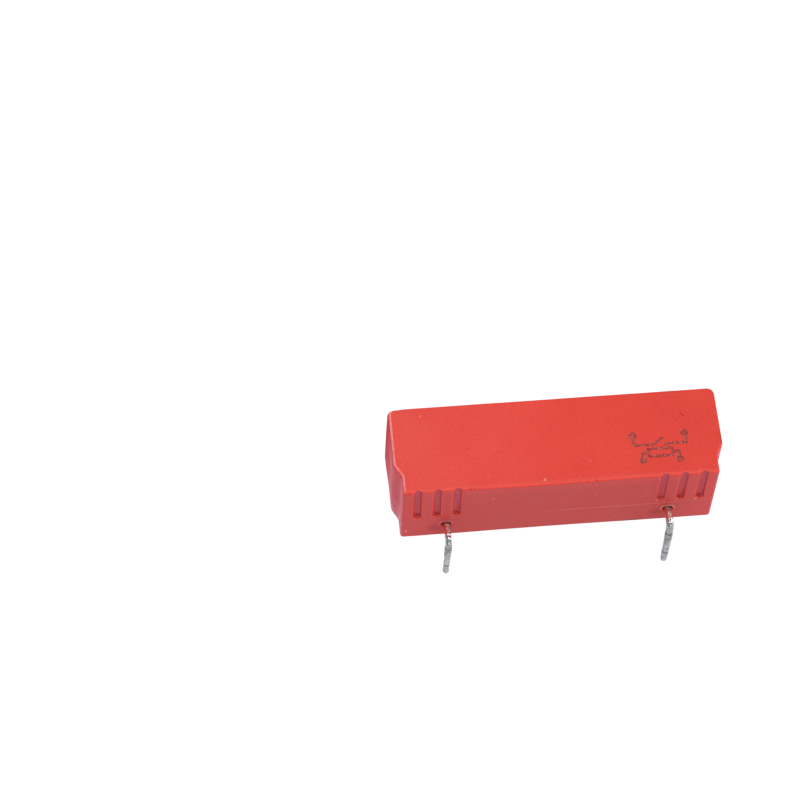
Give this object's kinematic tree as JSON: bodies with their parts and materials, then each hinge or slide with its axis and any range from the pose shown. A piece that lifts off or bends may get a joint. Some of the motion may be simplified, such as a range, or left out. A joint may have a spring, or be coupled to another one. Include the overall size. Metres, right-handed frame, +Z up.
{
  "type": "reed relay",
  "caption": "Red moulded box, open below and filled with black resin, holding a coil and a glass reed switch; bent round wire pins leave its long sides and point down.",
  "frame": {"origin": "centre of the rectangle that the pin rows and the grid make (midway between both pin rows, and midway between the two pins of each row), on the seating plane, where the housing's rim lies on a board", "axes": "+X along the housing's length to its right as seen from the grooved front, +Y from the coil pins towards the switch pins, +Z up from the board to the flat outer face; the pins point along -Z"},
  "size_m": [0.03, 0.0137, 0.0122],
  "materials": {
    "housing_plastic": "fine satin moulding in red",
    "bobbin_plastic": "satin moulding in the same red",
    "resin": "cured black potting resin, smooth with faint scuffs",
    "pin_wire": "round wire, bright tin plating",
    "post_wire": "dipped in solder",
    "solder": "smooth, slightly dull",
    "enamelled_copper": "enamelled copper wire, tightly wound",
    "link_wire": "drawn copper wire",
    "reed_alloy": "nickel-iron, lightly plated",
    "capsule_glass": "clear with a green tint"
  },
  "bodies": {
    "relay": {"housing": "housing_plastic", "potting_resin": "resin", "bobbin": "bobbin_plastic", "coil_winding": "enamelled_copper", "glass_capsule": "capsule_glass", "reed_lead_left": "reed_alloy", "reed_lead_right": "reed_alloy", "switch_pin_left": "pin_wire", "switch_pin_right": "pin_wire", "coil_pin_left": "pin_wire", "coil_pin_right": "pin_wire", "winding_post_front_left": "post_wire", "winding_post_front_right": "post_wire", "winding_post_back_left": "post_wire", "winding_post_back_right": "post_wire", "coil_link_left": "link_wire", "coil_link_right": "link_wire", "coil_solder_left": "solder", "coil_solder_right": "solder", "switch_solder_left": "solder", "switch_solder_right": "solder"},
    "left_blade": {"reed_blade_left": "reed_alloy"},
    "right_blade": {"reed_blade_right": "reed_alloy"}
  },
  "joints": [
    {"name": "left_blade_bend", "type": "hinge", "parent": "relay", "child": "left_blade", "pos_m": [-0.00589, -0.00003, 0.0037], "axis": [0, -1, 0], "range_deg": [0, 0.48]},
    {"name": "right_blade_bend", "type": "hinge", "parent": "relay", "child": "right_blade", "pos_m": [0.00589, -0.00003, 0.004], "axis": [0, -1, 0], "range_deg": [0, 0.48]}
  ],
  "couplings": [
    {"joint": "right_blade_bend", "follows": "left_blade_bend", "ratio": 1}
  ]
}
